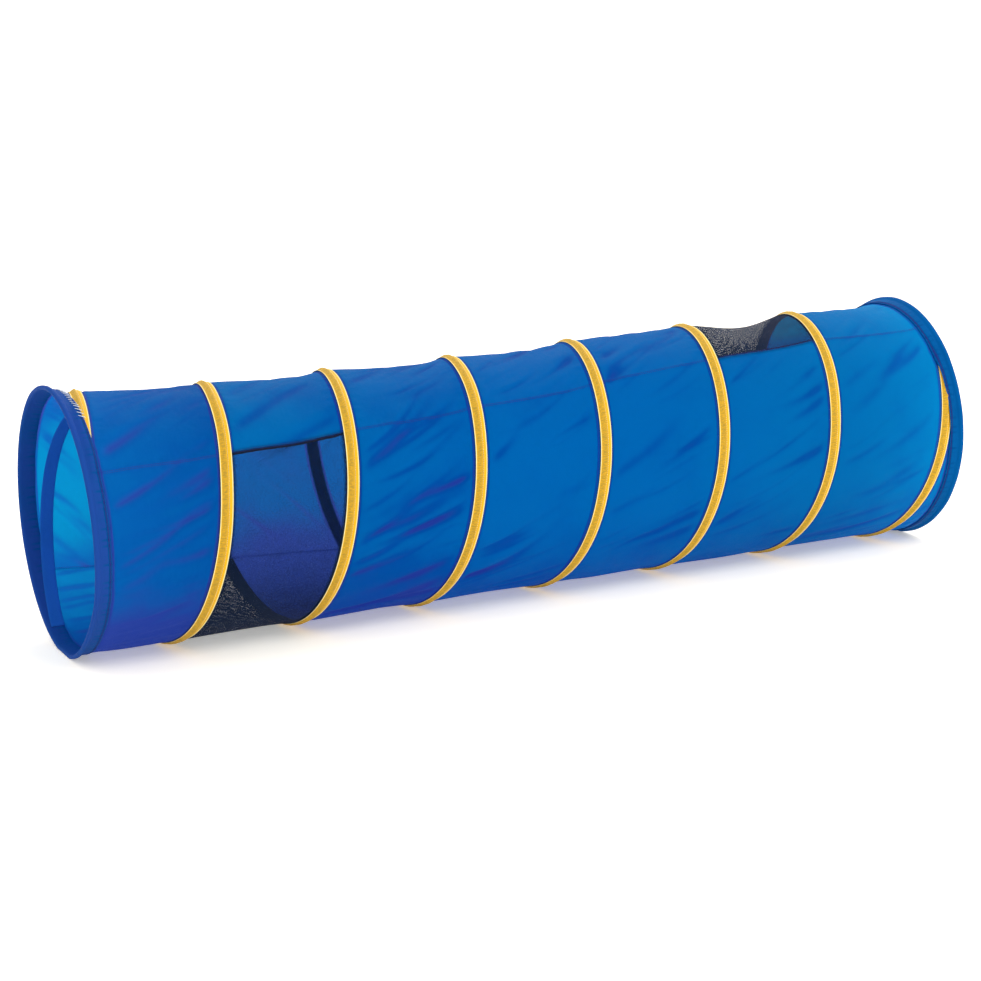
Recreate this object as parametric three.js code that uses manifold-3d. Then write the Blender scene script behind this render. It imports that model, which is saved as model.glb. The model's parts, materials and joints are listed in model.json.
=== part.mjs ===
// A pop-up agility tunnel: a nylon tube held open by one long helical spring wire and a flat
// hoop at each end. Millimetres, +Z up, +X along the tunnel. The origin is on the ground below
// the middle of the tunnel. The cloth lies round on the wire, and its underside is pressed flat
// where it meets the ground, so every ring section has one wide facet at the bottom.
import * as THREE from 'three';
import { mergeVertices } from 'three/addons/utils/BufferGeometryUtils.js';
import Module from 'manifold-3d';

const wasm = await Module();
wasm.setup();

// Driving dimensions
const LENGTH = 1829; // from end face to end face
const HEM_RADIUS = 243; // outside of the cloth over an end hoop, the largest radius
const HEM_WIDTH = 32;
const FLAT_HALF_ANGLE = 9; // half the angle that the flat underside takes, in degrees
const AXIS_HEIGHT = HEM_RADIUS * Math.cos(THREE.MathUtils.degToRad(FLAT_HALF_ANGLE));
const GAP = 0.3; // between pieces that touch

// Where each turn of the coil crosses the top of the tunnel, from the left end face
const CROWNS = [54, 298, 538, 797, 1059, 1321, 1579, 1851];
const TURNS = CROWNS.length - 1;
const LOWER_WINDOW = 1; // the mesh windows: the bay between turns 1 and 2, below the seams
const UPPER_WINDOW = 5; // and the bay between turns 5 and 6, above the seams

// The wire leaves the left hem at the top. It bends away from the end on the far side of its
// first turn, and runs in under the hem on the near side of the crown.
const START_SLOPE = 290; // per turn, on the near side of the crown
const START_BEND = 36;
const START_BEND_SKEW = 0.8;

// The stay is a band of cloth inside the left end. It leaves the hem near the ground on the far
// side, and rises to the first turn's tape.
const STAY_FROM = 204;
const STAY_TO = 324;
const STAY_START = 20;
const STAY_RISE = 60;
const STAY_CURL = 22;
const STAY_CURL_POWER = 6;

// Layers, as radii from the tunnel's axis
const CLOTH = [234.6, 235.8];
const SEAM_BINDING = [233.3, 234.3];
const EDGE_BINDING = [232, 233];
const COIL_RADIUS = 238;
const HOOP_RADIUS = 238.9;
const WIRE_RADIUS = 1.5;
const CLOTH_END = 11; // the cloth starts this far from an end face, inside the hem

const CASING_HALF_WIDTH = 12.5;
const CASING_RIDGE = 4.6; // half the width of the tape's flat top, over the wire
const CASING_TOP = 241.1;
const CASING_EDGE = 236.4; // where the tape lies down on the cloth
const CASING_THICKNESS = 1.2;
const SEAM_BINDING_HALF_WIDTH = 5;
const HOOP_INSET = 4; // the hoop's centre, from the end face
const FERRULE_LENGTH = 25;
const FERRULE_BORE = 1.95;
const FERRULE_RADIUS = 2.6;
const FERRULE_ANGLE = 270;

// The two long seams are opposite each other. The near seam climbs as it runs to the right.
const SEAM_START = 33.5; // degrees above the horizontal
const SEAM_CLIMB = 26;
const SEAM_CLIMB_FROM = 40;
const SEAM_CLIMB_OVER = 1500;
const FAR_OUT = 240; // just beyond the panels, for the solids that cut them
const SEAM_STEPS = 32;

// Angles are measured from the top of the ring towards the near side, in degrees
const STEP = 12;
const RING = [];
for (let a = 0; a <= 180 - 2 * STEP; a += STEP) RING.push(a);
RING.push(180 - FLAT_HALF_ANGLE, 180 + FLAT_HALF_ANGLE);
for (let a = 180 + 2 * STEP; a <= 360; a += STEP) RING.push(a);
const RING_FACETS = RING.length - 1;
const UPPER_SPAN = [-160, 72]; // holds the upper half of a bay, wherever its seams are
const LOWER_SPAN = [20, 240];
const END_ANGLE = THREE.MathUtils.radToDeg(GAP / 2 / COIL_RADIUS);
const TURN_ANGLES = [END_ANGLE, ...RING.slice(1, -1), 360 - END_ANGLE];

const blue = { color: 0x005fae, roughness: 0.62, metalness: 0 };
const yellow = { color: 0xf0be32, roughness: 0.75, metalness: 0 };
const netting = { color: 0x14151c, roughness: 0.85, metalness: 0 };
const black = { color: 0x101018, roughness: 0.85, metalness: 0 };
const steel = { color: 0x8d9197, roughness: 0.35, metalness: 1 };

const group = new THREE.Group();

function addPiece(name, geometry, look) {
  const mesh = new THREE.Mesh(geometry, new THREE.MeshStandardMaterial(look));
  mesh.name = name;
  group.add(mesh);
}

// Distance of the coil from the left end face after this many turns, smooth through the crowns
function coilX(turns) {
  const k = Math.min(Math.max(Math.floor(turns), 0), TURNS - 1);
  const t = turns - k;
  const slope = (i) => {
    const before = Math.max(i - 1, 0);
    const after = Math.min(i + 1, TURNS);
    return (CROWNS[after] - CROWNS[before]) / (after - before);
  };
  if (t < 0) return CROWNS[0] + START_SLOPE * t;
  if (t > 1) return CROWNS[TURNS] + slope(TURNS) * (t - 1);
  const t2 = t * t;
  const t3 = t2 * t;
  const start = (2 * t3 - 3 * t2 + 1) * CROWNS[k] + (t3 - 2 * t2 + t) * slope(k);
  const end = (3 * t2 - 2 * t3) * CROWNS[k + 1] + (t3 - t2) * slope(k + 1);
  return start + end + startBend(turns);
}

// Nothing at the crown and at the bottom of the first turn, and most on its far side
function startBend(turns) {
  const share = THREE.MathUtils.clamp(2 * turns, 0, 1);
  return START_BEND * Math.sin(Math.PI * share ** START_BEND_SKEW) ** 2;
}

function stayX(angle) {
  const share = (angle - STAY_FROM) / (STAY_TO - STAY_FROM);
  const free = STAY_START + STAY_RISE * share + STAY_CURL * share ** STAY_CURL_POWER;
  return Math.min(free, coilX(1 - angle / 360));
}

function placeVertex(position, i, x, radius, degrees) {
  const angle = THREE.MathUtils.degToRad(degrees);
  const y = -radius * Math.sin(angle);
  position.setXYZ(i, x - LENGTH / 2, y, AXIS_HEIGHT + radius * Math.cos(angle));
}

function closed(geometry) {
  const plain = geometry.clone();
  plain.deleteAttribute('normal');
  plain.deleteAttribute('uv');
  return mergeVertices(plain, 1e-4);
}

// A section drawn as [along, radius] points, carried round the axis through the given angles.
// along(u, angle) turns the section's first number into a distance from the left end face.
function sweep(outline, angles, along) {
  const section = new THREE.Shape(outline.map(([u, r]) => new THREE.Vector2(u, r)));
  const steps = angles.length - 1;
  const geometry = new THREE.ExtrudeGeometry(section, { depth: steps, steps, bevelEnabled: false });
  const position = geometry.attributes.position;
  for (let i = 0; i < position.count; i++) {
    const angle = angles[Math.round(position.getZ(i))];
    placeVertex(position, i, along(position.getX(i), angle), position.getY(i), angle);
  }
  return closed(geometry);
}

// The same section as one whole ring
function ring(outline) {
  const points = [...outline, outline[0]].map(([u, r]) => new THREE.Vector2(r, u));
  const geometry = new THREE.LatheGeometry(points, RING_FACETS);
  const position = geometry.attributes.position;
  for (let i = 0; i < position.count; i++) {
    const column = Math.floor(i / points.length) % RING_FACETS;
    const point = points[i % points.length];
    placeVertex(position, i, point.y, point.x, RING[column]);
  }
  return closed(geometry);
}

function polygon(count, centre, middle, radius) {
  return Array.from({ length: count }, (_, i) => {
    const angle = (2 * Math.PI * (i + 0.5)) / count;
    return [centre + radius * Math.cos(angle), middle + radius * Math.sin(angle)];
  });
}

function toSolid(geometry) {
  return new wasm.Manifold(
    new wasm.Mesh({
      numProp: 3,
      vertProperties: new Float32Array(geometry.attributes.position.array),
      triVerts: new Uint32Array(geometry.index.array),
    }),
  );
}

function toGeometry(solid) {
  const mesh = solid.getMesh();
  const geometry = new THREE.BufferGeometry();
  geometry.setAttribute('position', new THREE.BufferAttribute(mesh.vertProperties, 3));
  geometry.setIndex(new THREE.BufferAttribute(mesh.triVerts, 1));
  return geometry;
}

function seamAngle(x) {
  const share = THREE.MathUtils.clamp((x - SEAM_CLIMB_FROM) / SEAM_CLIMB_OVER, 0, 1);
  return SEAM_START + SEAM_CLIMB * share;
}

// A bar of rectangular section that runs the length of the tunnel and turns with the seams.
// across is measured towards the near seam, and above at right angles to it.
function seamBar(across, above) {
  const corners = [];
  for (const a of [across[0], (across[0] + across[1]) / 2, across[1]]) corners.push([a, above[0]]);
  for (const a of [across[1], (across[0] + across[1]) / 2, across[0]]) corners.push([a, above[1]]);
  const section = new THREE.Shape(corners.map(([a, b]) => new THREE.Vector2(a, b)));
  const path = { depth: LENGTH, steps: SEAM_STEPS, bevelEnabled: false };
  const geometry = new THREE.ExtrudeGeometry(section, path);
  const position = geometry.attributes.position;
  for (let i = 0; i < position.count; i++) {
    const x = LENGTH - position.getZ(i);
    const angle = THREE.MathUtils.degToRad(seamAngle(x));
    const a = position.getX(i);
    const b = position.getY(i);
    const y = -a * Math.cos(angle) + b * Math.sin(angle);
    const z = AXIS_HEIGHT + a * Math.sin(angle) + b * Math.cos(angle);
    position.setXYZ(i, x - LENGTH / 2, y, z);
  }
  return toSolid(closed(geometry));
}

// Everything between two distances from the left end face
function slice(from, to) {
  const box = new THREE.BoxGeometry(to - from, 3 * HEM_RADIUS, 3 * HEM_RADIUS);
  box.translate((from + to - LENGTH) / 2, 0, AXIS_HEIGHT);
  return toSolid(closed(box));
}

const aboveSeams = seamBar([-FAR_OUT, FAR_OUT], [GAP / 2, FAR_OUT]);
const belowSeams = seamBar([-FAR_OUT, FAR_OUT], [-FAR_OUT, -GAP / 2]);
const halfWidth = SEAM_BINDING_HALF_WIDTH;
const nearSeam = seamBar([0, FAR_OUT], [-halfWidth, halfWidth]);
const farSeam = seamBar([-FAR_OUT, 0], [-halfWidth, halfWidth]);
const betweenHems = slice(HEM_WIDTH + GAP, LENGTH - HEM_WIDTH - GAP);

// The ring angles that the upper or the lower half of a bay needs
function bayAngles(upper) {
  const around = [...RING.slice(0, -1).map((a) => a - 360), ...RING];
  const [from, to] = upper ? UPPER_SPAN : LOWER_SPAN;
  return around.filter((a) => a >= from && a <= to);
}

// Cloth between two neighbouring turns, or between an end hoop and the turn next to it
function bayStrip(bay, layer, upper) {
  const outline = [[0, layer[0]], [1, layer[0]], [1, layer[1]], [0, layer[1]]];
  const along = (u, angle) => {
    const edge = coilX(bay + u - angle / 360) + (u ? -GAP / 2 : GAP / 2);
    return THREE.MathUtils.clamp(edge, CLOTH_END + u * GAP, LENGTH - CLOTH_END - (1 - u) * GAP);
  };
  const angles = bayAngles(upper).filter((a) => along(1, a) - along(0, a) > 2 * GAP);
  return toSolid(sweep(outline, angles, along));
}

function panel(bay, upper) {
  const strip = bayStrip(bay, CLOTH, upper);
  return toGeometry(strip.intersect(upper ? aboveSeams : belowSeams));
}

// A strip of cloth folded over the hoop. Its section goes round the outer leg, the fold and the
// inner leg, as [distance from the end face, radius], and the body's cloth ends between the legs.
function makeHem(atRight) {
  const legTop = CLOTH[1] + 1.6;
  const legFoot = CLOTH[0] - 1.5;
  const outline = [
    [HEM_WIDTH, legTop], [HEM_WIDTH, CLOTH[1] + 0.4], [10.2, CLOTH[1] + 0.4], [6.6, 241.8],
    [1.8, 241.8], [1.1, 241.2], [1.1, 236.6], [1.8, 235.9], [6.5, 235.9],
    [10.2, CLOTH[0] - GAP], [HEM_WIDTH, CLOTH[0] - GAP], [HEM_WIDTH, legFoot], [10, legFoot],
    [1.4, 234.4], [0, 236.1], [0, 241.9], [1.2, HEM_RADIUS], [7.4, HEM_RADIUS], [11, legTop],
  ];
  return ring(atRight ? outline.map(([u, r]) => [LENGTH - u, r]).reverse() : outline);
}

function makeHoop(atRight) {
  const centre = atRight ? LENGTH - HOOP_INSET : HOOP_INSET;
  return ring(polygon(8, centre, HOOP_RADIUS, WIRE_RADIUS).reverse());
}

// A crimped tube over the place where the hoop's two ends meet
function makeFerrule(atRight) {
  const half = FERRULE_LENGTH / 2;
  const points = [[FERRULE_BORE, -half], [FERRULE_RADIUS, -half], [FERRULE_RADIUS, half],
    [FERRULE_BORE, half], [FERRULE_BORE, -half]].map(([r, y]) => new THREE.Vector2(r, y));
  const geometry = new THREE.LatheGeometry(points, 8);
  const angle = THREE.MathUtils.degToRad(FERRULE_ANGLE);
  const radius = HOOP_RADIUS * Math.cos(THREE.MathUtils.degToRad(STEP / 2));
  geometry.rotateX(angle + Math.PI);
  const x = (atRight ? LENGTH - HOOP_INSET : HOOP_INSET) - LENGTH / 2;
  geometry.translate(x, -radius * Math.sin(angle), AXIS_HEIGHT + radius * Math.cos(angle));
  return closed(geometry);
}

function makeCoilTurn(turn) {
  const section = polygon(6, 0, COIL_RADIUS, WIRE_RADIUS);
  const along = (u, angle) => u + coilX(turn - angle / 360);
  const whole = toSolid(sweep(section, TURN_ANGLES, along));
  return toGeometry(whole.intersect(betweenHems));
}

// The casing tape lies over the wire like a low tent, and is sewn down along both edges. The
// first turn's tape runs on past the crown until the hem covers it.
function makeCasingTurn(turn) {
  const w = CASING_HALF_WIDTH;
  const under = CASING_TOP - CASING_THICKNESS;
  const inside = CASING_RIDGE - 0.4;
  const section = [[-w, CASING_EDGE], [-inside, under], [inside, under],
    [w, CASING_EDGE], [CASING_RIDGE, CASING_TOP], [-CASING_RIDGE, CASING_TOP]];
  const along = (u, angle) => u + coilX(turn - angle / 360);
  const pastCrown = [0, 1, 2, 3, 4].map((i) => 360 + i * STEP);
  const angles = turn === 1 ? [...TURN_ANGLES.slice(0, -1), ...pastCrown] : TURN_ANGLES;
  const whole = toSolid(sweep(section, angles, along));
  return toGeometry(whole.intersect(betweenHems));
}

function makeEdgeBinding(turn, upper) {
  const [foot, top] = EDGE_BINDING;
  const w = CASING_HALF_WIDTH;
  const along = (u, angle) => u + coilX(turn - angle / 360);
  const strip = sweep([[-w, foot], [w, foot], [w, top], [-w, top]], bayAngles(upper), along);
  return toGeometry(toSolid(strip).intersect(upper ? aboveSeams : belowSeams));
}

function makeStay() {
  const [foot, top] = EDGE_BINDING;
  const w = CASING_HALF_WIDTH;
  const angles = RING.filter((a) => a >= STAY_FROM && a <= STAY_TO);
  return sweep([[-w, foot], [w, foot], [w, top], [-w, top]], angles, (u, angle) => u + stayX(angle));
}

function makeSeamBinding(bay, upper, seam) {
  return toGeometry(bayStrip(bay, SEAM_BINDING, upper).intersect(seam));
}

for (const [side, atRight] of [['left', false], ['right', true]]) {
  addPiece(`${side}_hoop`, makeHoop(atRight), steel);
  addPiece(`${side}_hoop_ferrule`, makeFerrule(atRight), steel);
  addPiece(`${side}_hem`, makeHem(atRight), blue);
}

addPiece('left_hem_stay', makeStay(), blue);

for (let turn = 1; turn <= TURNS; turn++) {
  addPiece(`coil_turn_${turn}`, makeCoilTurn(turn), steel);
  addPiece(`casing_turn_${turn}`, makeCasingTurn(turn), yellow);
}

for (let bay = -1; bay < TURNS; bay++) {
  const name = bay < 0 ? 'upper_end_gusset' : `upper_panel_${bay}`;
  const mesh = bay === UPPER_WINDOW;
  addPiece(mesh ? 'upper_window_mesh' : name, panel(bay, true), mesh ? netting : blue);
}
for (let bay = 0; bay <= TURNS; bay++) {
  const mesh = bay === LOWER_WINDOW;
  const name = mesh ? 'lower_window_mesh' : `lower_panel_${bay}`;
  addPiece(name, panel(bay, false), mesh ? netting : blue);
}

for (const [name, bay, upper] of [['lower', LOWER_WINDOW, false], ['upper', UPPER_WINDOW, true]]) {
  addPiece(`${name}_window_binding_left`, makeEdgeBinding(bay, upper), black);
  addPiece(`${name}_window_binding_right`, makeEdgeBinding(bay + 1, upper), black);
  addPiece(`${name}_window_binding_near`, makeSeamBinding(bay, upper, nearSeam), black);
  addPiece(`${name}_window_binding_far`, makeSeamBinding(bay, upper, farSeam), black);
}

export default group;
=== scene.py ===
"""A pop-up agility tunnel of blue nylon on a helical spring wire, as it looks set out on the floor."""

import json
import math
import random

import bmesh
import bpy
import numpy as np
from mathutils import Matrix, Vector


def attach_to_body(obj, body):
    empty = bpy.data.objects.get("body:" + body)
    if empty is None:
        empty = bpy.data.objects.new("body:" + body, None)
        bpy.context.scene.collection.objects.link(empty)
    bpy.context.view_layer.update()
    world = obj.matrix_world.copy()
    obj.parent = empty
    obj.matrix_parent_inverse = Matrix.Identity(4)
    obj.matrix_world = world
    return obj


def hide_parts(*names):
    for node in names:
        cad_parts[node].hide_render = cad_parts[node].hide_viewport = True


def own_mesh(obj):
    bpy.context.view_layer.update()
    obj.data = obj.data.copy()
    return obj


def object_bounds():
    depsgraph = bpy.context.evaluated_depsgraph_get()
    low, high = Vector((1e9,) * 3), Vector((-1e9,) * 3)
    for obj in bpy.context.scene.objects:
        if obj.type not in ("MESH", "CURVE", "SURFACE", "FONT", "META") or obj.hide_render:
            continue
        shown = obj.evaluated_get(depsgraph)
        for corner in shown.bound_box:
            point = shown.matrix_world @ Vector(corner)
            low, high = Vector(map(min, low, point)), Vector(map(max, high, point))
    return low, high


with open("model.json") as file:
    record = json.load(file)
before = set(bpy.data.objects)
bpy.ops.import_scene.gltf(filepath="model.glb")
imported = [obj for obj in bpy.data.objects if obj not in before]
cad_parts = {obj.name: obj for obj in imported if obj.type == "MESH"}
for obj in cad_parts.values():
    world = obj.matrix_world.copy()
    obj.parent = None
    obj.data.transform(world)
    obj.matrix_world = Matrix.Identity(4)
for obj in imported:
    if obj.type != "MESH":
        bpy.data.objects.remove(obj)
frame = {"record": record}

CAD_LOW, CAD_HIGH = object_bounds()
LENGTH = CAD_HIGH.x - CAD_LOW.x
END = LENGTH / 2

# Where each turn of the coil crosses the top, from the left end face, in metres
CROWNS = np.array([0.054, 0.298, 0.538, 0.797, 1.059, 1.321, 1.579, 1.851])
TURNS = len(CROWNS) - 1
WINDOWS = {"lower": 1, "upper": 5}  # the bay that each window takes up half of

# Radii from the tunnel's axis, in metres
CLOTH = 0.2356
WIRE = 0.238
TAPE_TOP = 0.2413
HEM_TOP = 0.243
HOOP = 0.2389
EDGE_BINDING = 0.2323

AXIS_HEIGHT = 0.24001
FLOOR_GAP = 0.0003
WIRE_RADIUS = 0.0015

# The wire leaves the left hem at the top. It bends away from the end on the far side of its
# first turn, and runs in under the hem on the near side of the crown.
START_SLOPE = 0.290
START_BEND = 0.036
START_BEND_SKEW = 0.8
FIRST_TAPE_PAST = 46  # degrees that the first turn's tape runs on past the top, in under the hem

CLOTH_END = 0.011
HEM_WIDTH = 0.032
HOOP_INSET = 0.004
TAPE_HALF = 0.0125
TAPE_BUMP = 0.0042  # how far a turn's tape lifts the hem that lies over it
BAND_STEP = math.degrees(0.004 / CLOTH)  # between the points along bindings and the stay

# Stitches, in metres
STITCH_PITCH = 0.0042
TAPE_STITCH = 0.0031
CLOTH_STITCH = 0.0029

# The stay: a band inside the left end that leaves the hem near the ground on the far side
STAY_FROM = 204
STAY_TO = 324
STAY_START = 0.020
STAY_RISE = 0.060
STAY_CURL = 0.022
STAY_CURL_POWER = 6
STAY_RADIUS = 0.2320

# The near seam's height above the horizontal, in degrees. The far seam is opposite it.
SEAM_START = 33.5
SEAM_CLIMB = 26.0
SEAM_CLIMB_FROM = 0.040
SEAM_CLIMB_OVER = 1.500

# How deep each bay's cloth dips between its turns, in metres, from the left end
SAG = [0.003, 0.008, 0.009, 0.007, 0.003, 0.017, 0.004, 0.003]
SAG_SCALE = 0.3025
SAG_UNDER = 0.3  # share of it on the underside, where the floor carries the cloth
TOP_DROP = 0.009  # how far the left two thirds of the tunnel settles under its own weight

END_RISE = {"left": 0.011, "right": 0.008}  # how far an end ring's top stands above the cloth beside it
RIGHT_RISE = 0.007  # how much higher the crown line is at the right end
LEFT_PINCH = 0.12  # how far the left ring's near side is drawn in towards the ground

# How much painted shade deepens the blue in each bay: 0 is the open cloth's blue, 0.5 a shaded deeper blue
# and 1 a deep-shade violet
UNDER_SHADE = [0.75, 0.65, 0.7, 0.35, 0.25, 0.25, 0.25, 0.25]  # on the underside
FAR_WALL_SHADE = [0.0, 0.5, 0.5, 0.5, 0.5, 0.8, 0.8, 0.5]  # on the far wall
BAY_SHADE = [0.36, 0.08, 0.06, 0.0, 0.0, 0.0, 0.0, 0.0]  # on the rest of the bay
FAR_SEAM_SHADE = 0.2  # how dark the far seam is beside the near one
NET_DENSITY = {"lower": 0.0, "upper": 0.56}  # how much narrower the holes in each window's net are
NET_FOLDS = 0.2  # how strong the folds are in the net, beside those in the cloth
NET_PITCH = 0.0016

# How strong the folds are in each bay, and how much painted shade deepens the blue in them
FOLDS = [1.3, 1.1, 1.7, 1.5, 1.4, 1.7, 1.1, 0.9]
FOLD_SHADES = [0.44, 0.38, 0.50, 0.42, 0.40, 0.42, 0.38, 0.32]
INSIDE_FOLD_SHADE = 0.3  # share of it on the far wall of the first bay, seen through the opening
FOLDS_PER_BAY = 76
FOLDS_BETWEEN = (-140, 250)  # angles in degrees
FOLD_SLANT = 36  # degrees from the tunnel's length, for a fold at the top
FOLD_SLANT_FALL = 0.14  # how much less it is for each degree round towards the near side
FOLD_SLANT_LIMITS = (16, 44)
FOLD_SLANT_SPREAD = 6
FOLD_BEND = (0.3, 1.6)
FOLD_FULL_DEPTH = 0.0024  # metres; a fold this deep takes its bay's whole painted fold shade

# Level pleats on the far wall of the first bay, low down, seen through the left opening, each with painted
# shade in it
PLEATS = 11
PLEATS_BETWEEN = (194, 238)  # angles in degrees
PLEAT_WIDTH = 0.0036
PLEAT_DEPTH = 0.0008

MESH_STEP = 0.0036  # between the points of a panel's mesh, in metres

# Colours of the nylon by the light on its face, and by the light that comes through it; the deeper and violet
# ones are shaded copies, for painted shade
BLUE = (0.000, 0.112, 0.318)
# Shaded copy of the blue for painted shade; the fine grain also mixes a little of it in
SHADED_AND_GRAIN_BLUE = (0.000, 0.072, 0.262)
DEEP_SHADE_VIOLET = (0.018, 0.040, 0.245)
# Shaded and lit copies of the doubled hem cloth's colours: the left hem takes the shaded violet one, the
# right hem the lit one
SHADED_HEM_BLUE = (0.018, 0.066, 0.345)
# Painted light: the stay's blue is lifted well over the cloth's, against the shade inside the left end
LIT_STAY_BLUE = (0.020, 0.150, 0.620)
LIT_HEM_BLUE = (0.002, 0.125, 0.400)
BLUE_THROUGH = (0.004, 0.430, 0.880)
SHADED_THROUGH = (0.008, 0.205, 0.740)
DEEP_SHADE_VIOLET_THROUGH = (0.050, 0.105, 0.600)
SHADED_HEM_THROUGH = (0.060, 0.115, 0.600)
LIT_HEM_THROUGH = (0.004, 0.220, 0.700)

TAPE_GOLD = (0.78, 0.45, 0.012)
TAPE_DARK_GOLD = (0.66, 0.33, 0.010)
# Painted shade on the slope of the channel that rises over the wire, with darker streaks in it
TAPE_SHADED_SIDE = (0.60, 0.33, 0.016)  # where the channel lies over the wire
TAPE_DARK_SHADED_SIDE = (0.30, 0.20, 0.030)
TAPE_GROOVE_SHADE = (0.28, 0.17, 0.012)
TAPE_EDGE = (0.95, 0.84, 0.40)
TAPE_EDGE_SHADOW = (0.020, 0.032, 0.045)
NET_BLACK = (0.002, 0.007, 0.020)
NET_WORN = (0.006, 0.016, 0.042)
BINDING_BLACK = (0.011, 0.010, 0.022)
BINDING_LINT = (0.040, 0.034, 0.062)
CREAM = (0.95, 0.86, 0.50)
WHITE = (0.80, 0.88, 0.95)
THREAD_BLUE = (0.030, 0.045, 0.260)
STEEL = (0.55, 0.57, 0.60)
TARNISH = (0.38, 0.36, 0.34)

WORLD_STRENGTH = 1.15
FLOOR_HALF = 30
FLOOR_COLOUR = (0.92, 0.88, 0.80)
FLOOR_GLOW_COLOUR = (1.0, 0.98, 0.92)
FLOOR_GLOW = 0.33  # keeps the shadow on the backdrop as pale as a studio's lit floor does

CAMERA_AT = (-2.0195, -4.0358, 1.2261)
CAMERA_YAW = 26.094  # from +Y towards +X
CAMERA_PITCH = -12.878
CAMERA_ROLL = -1.3817
CAMERA_LENS = 86.53


# ---------------------------------------------------------------- shape of the tunnel

def smooth(x, start, end):
    """Eases from 0 at the start to 1 at the end, whichever of the two is larger."""
    t = np.clip((x - start) / (end - start), 0, 1)
    return t * t * (3 - 2 * t)


def coil_x(turns):
    """Distance of the coil from the left end face after this many turns."""
    turns = np.asarray(turns, float)
    slopes = np.gradient(CROWNS)
    k = np.clip(np.floor(turns), 0, TURNS - 1).astype(int)
    t = turns - k
    inside = np.clip(t, 0, 1)
    t2, t3 = inside**2, inside**3
    start = (2 * t3 - 3 * t2 + 1) * CROWNS[k] + (t3 - 2 * t2 + inside) * slopes[k]
    end = (3 * t2 - 2 * t3) * CROWNS[k + 1] + (t3 - t2) * slopes[k + 1]
    beyond = np.where(t < 0, START_SLOPE * t, np.where(t > 1, slopes[-1] * (t - 1), 0))
    bend = START_BEND * np.sin(math.pi * np.clip(2 * turns, 0, 1) ** START_BEND_SKEW) ** 2
    return start + end + beyond + bend


def seam_angle(x):
    """Where the near seam is, in degrees from the top towards the near side."""
    climb = np.clip((x - SEAM_CLIMB_FROM) / SEAM_CLIMB_OVER, 0, 1)
    return 90 - SEAM_START - SEAM_CLIMB * climb


def place(x, angle, radius):
    """Points in the tunnel's frame, from a distance along it, an angle from the top and a radius.

    The underside is pressed flat, the left part's top settles a little, the end rings' tops and the
    right part's rise, and the left ring's near side is drawn in towards the ground.
    """
    x, angle, radius = np.broadcast_arrays(x, angle, radius)
    a = np.radians(angle)
    from_end = np.minimum(x, LENGTH - x)
    # The outermost layer, tape or hem, comes down to just over the floor
    outer = TAPE_TOP + (HEM_TOP - TAPE_TOP) * (1 - smooth(from_end, 0.03, 0.09))
    reach = (AXIS_HEIGHT - FLOOR_GAP) / np.maximum(-np.cos(a), 0.5)
    radius = radius - np.maximum(outer - reach, 0)
    drop = TOP_DROP * smooth(x, 0.05, 0.26) * (1 - smooth(x, 0.85, 1.25))
    ring = np.where(x < END, END_RISE["left"], END_RISE["right"]) * (1 - smooth(from_end, 0.0, 0.055))
    rise = (ring + RIGHT_RISE * smooth(x, 0.8, 1.7)) * np.maximum(np.cos(a), 0) ** 1.5
    z = (AXIS_HEIGHT + radius * np.cos(a)) * (1 - drop / (2 * AXIS_HEIGHT)) + rise
    pinch = LEFT_PINCH * (1 - smooth(x, 0.0, 0.12)) * smooth(-np.cos(a), 0.3, 0.95) * (np.sin(a) > 0)
    return np.stack([x - END, -radius * np.sin(a) * (1 - pinch), np.maximum(z, FLOOR_GAP)], -1)


def noise(x, y, seed):
    """Smooth noise from -1 to 1, with one bump to each unit."""
    xi, yi = np.floor(x), np.floor(y)
    fx, fy = x - xi, y - yi
    fx, fy = fx * fx * (3 - 2 * fx), fy * fy * (3 - 2 * fy)

    def corner(i, j):
        h = np.sin((xi + i) * 127.1 + (yi + j) * 311.7 + seed * 74.7) * 43758.5453
        return (h - np.floor(h)) * 2 - 1

    low = corner(0, 0) * (1 - fx) + corner(1, 0) * fx
    high = corner(0, 1) * (1 - fx) + corner(1, 1) * fx
    return low * (1 - fy) + high * fy


# ---------------------------------------------------------------- mesh and object helpers

def grid_faces(rows, cols, wrap_rows=False, wrap_cols=False):
    r = np.arange(rows if wrap_rows else rows - 1)
    c = np.arange(cols if wrap_cols else cols - 1)
    r, c = np.meshgrid(r, c, indexing="ij")
    r1, c1 = (r + 1) % rows, (c + 1) % cols
    corners = [r * cols + c, r * cols + c1, r1 * cols + c1, r1 * cols + c]
    return np.stack(corners, -1).reshape(-1, 4)


def add_object(name, data):
    obj = bpy.data.objects.new(name, data)
    bpy.context.scene.collection.objects.link(obj)
    return obj


def grid_object(name, points, uv, wrap_rows=False, wrap_cols=False, caps=False, **shades):
    """A mesh over a grid of points. uv is in metres. Each shade is a number at every point."""
    rows, cols = points.shape[:2]
    faces = grid_faces(rows, cols, wrap_rows, wrap_cols).tolist()
    if caps:
        faces.append(list(range(cols))[::-1])
        faces.append([(rows - 1) * cols + c for c in range(cols)])
    mesh = bpy.data.meshes.new(name)
    mesh.from_pydata(points.reshape(-1, 3).tolist(), [], faces)
    corner = np.empty(len(mesh.loops), np.int32)
    mesh.loops.foreach_get("vertex_index", corner)
    uv_map = mesh.uv_layers.new(name="UVMap")
    uv_map.data.foreach_set("uv", uv.reshape(-1, 2)[corner].astype(np.float32).ravel())
    for shade, values in shades.items():
        attribute = mesh.attributes.new(shade, "FLOAT", "POINT")
        attribute.data.foreach_set("value", values.astype(np.float32).ravel())
    mesh.shade_smooth()
    return add_object(name, mesh)


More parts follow.
